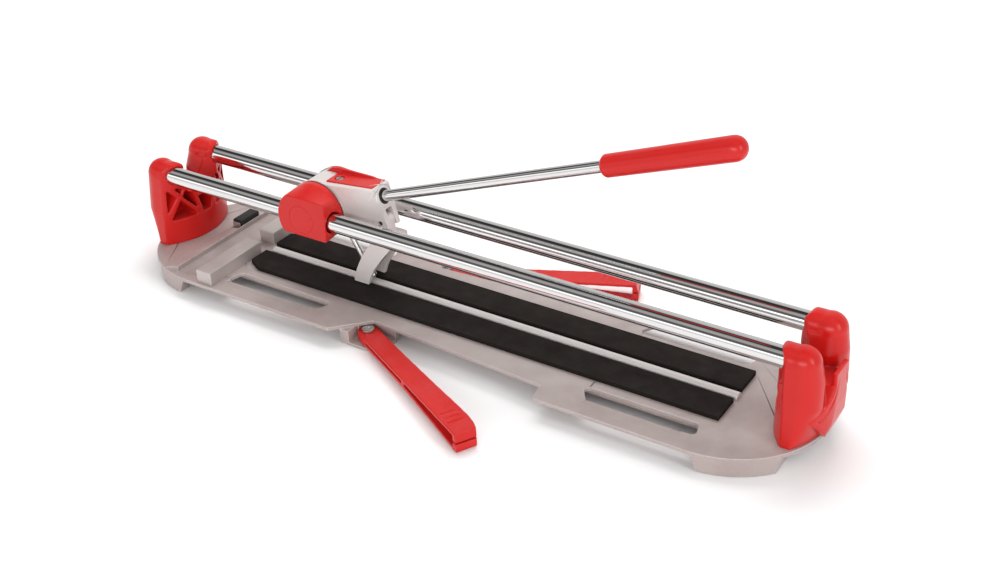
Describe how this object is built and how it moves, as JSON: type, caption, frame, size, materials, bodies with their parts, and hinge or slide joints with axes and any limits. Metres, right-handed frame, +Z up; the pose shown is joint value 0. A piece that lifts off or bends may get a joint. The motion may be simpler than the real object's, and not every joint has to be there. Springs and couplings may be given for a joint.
{
  "type": "tile cutter",
  "caption": "Hand tile cutter: scoring lever that slides on two round bars above a padded bed with a breaking rib, end stops and two swinging support arms.",
  "frame": {"origin": "on the bench plane under the feet, halfway between the two round ends, and in the middle of the box that holds the whole cutter with its arms out; the middle plane of the bars is at Y = 13.74 mm", "axes": "+X along the guide bars from the fence to the open end, +Y to the rear, +Z up"},
  "size_m": [0.8024, 0.3386, 0.2827],
  "materials": {
    "cast_alloy": "satin, fine cast grain",
    "rib_steel": "fine brushed",
    "pad_rubber": "matt, close pored",
    "screw_steel": "zinc plated",
    "stop_plastic": "matt black",
    "black_plastic": "matt black",
    "red_plastic": "satin red",
    "chrome_bar": "bright chrome",
    "bush_bronze": "plain bearing bronze"
  },
  "bodies": {
    "base": {"base_plate": "cast_alloy", "breaking_rib": "rib_steel", "pad_front": "pad_rubber", "pad_rear": "pad_rubber", "fence_front": "cast_alloy", "fence_rear": "cast_alloy", "fence_screws": "screw_steel", "stop_block": "stop_plastic", "stop_clip": "rib_steel", "support_left": "red_plastic", "support_right": "red_plastic", "support_screws": "screw_steel", "guide_bar_front": "chrome_bar", "guide_bar_rear": "chrome_bar", "arm_screws": "screw_steel"},
    "carriage": {"slider_block_front": "cast_alloy", "slider_block_rear": "cast_alloy", "slider_cover_front": "red_plastic", "slider_cover_rear": "red_plastic", "bushes": "bush_bronze", "thrust_washers": "rib_steel", "pivot_tube": "rib_steel"},
    "lever": {"lever_body": "cast_alloy", "top_insert": "red_plastic", "insert_screw": "screw_steel", "socket_ring": "black_plastic", "handle_rod": "chrome_bar", "handle_grip": "red_plastic", "foot_pin": "rib_steel", "wheel_holder": "rib_steel", "wheel_axle": "rib_steel", "holder_nut": "screw_steel"},
    "breaker": {"breaker_foot": "cast_alloy"},
    "wheel": {"scoring_wheel": "rib_steel"},
    "arm_near": {"arm_front": "red_plastic"},
    "arm_far": {"arm_rear": "red_plastic"}
  },
  "joints": [
    {"name": "carriage_slide", "type": "slide", "parent": "base", "child": "carriage", "axis": [1, 0, 0], "range_m": [-0.12, 0.4]},
    {"name": "lever_hinge", "type": "hinge", "parent": "carriage", "child": "lever", "pos_m": [-0.167, 0.01374, 0.1021], "axis": [0, 1, 0], "range_deg": [-55, 0]},
    {"name": "foot_hinge", "type": "hinge", "parent": "lever", "child": "breaker", "pos_m": [-0.092, 0.01374, 0.103], "axis": [0, 1, 0], "range_deg": [0, 6]},
    {"name": "wheel_spin", "type": "hinge", "parent": "lever", "child": "wheel", "pos_m": [-0.117, 0.01374, 0.0317], "axis": [0, 1, 0], "continuous": true},
    {"name": "front_arm_hinge", "type": "hinge", "parent": "base", "child": "arm_near", "pos_m": [-0.071, -0.05726, 0.008], "axis": [0, 0, 1], "range_deg": [-61, 17]},
    {"name": "rear_arm_hinge", "type": "hinge", "parent": "base", "child": "arm_far", "pos_m": [-0.071, 0.08474, 0.008], "axis": [0, 0, 1], "range_deg": [-9, 69]}
  ]
}
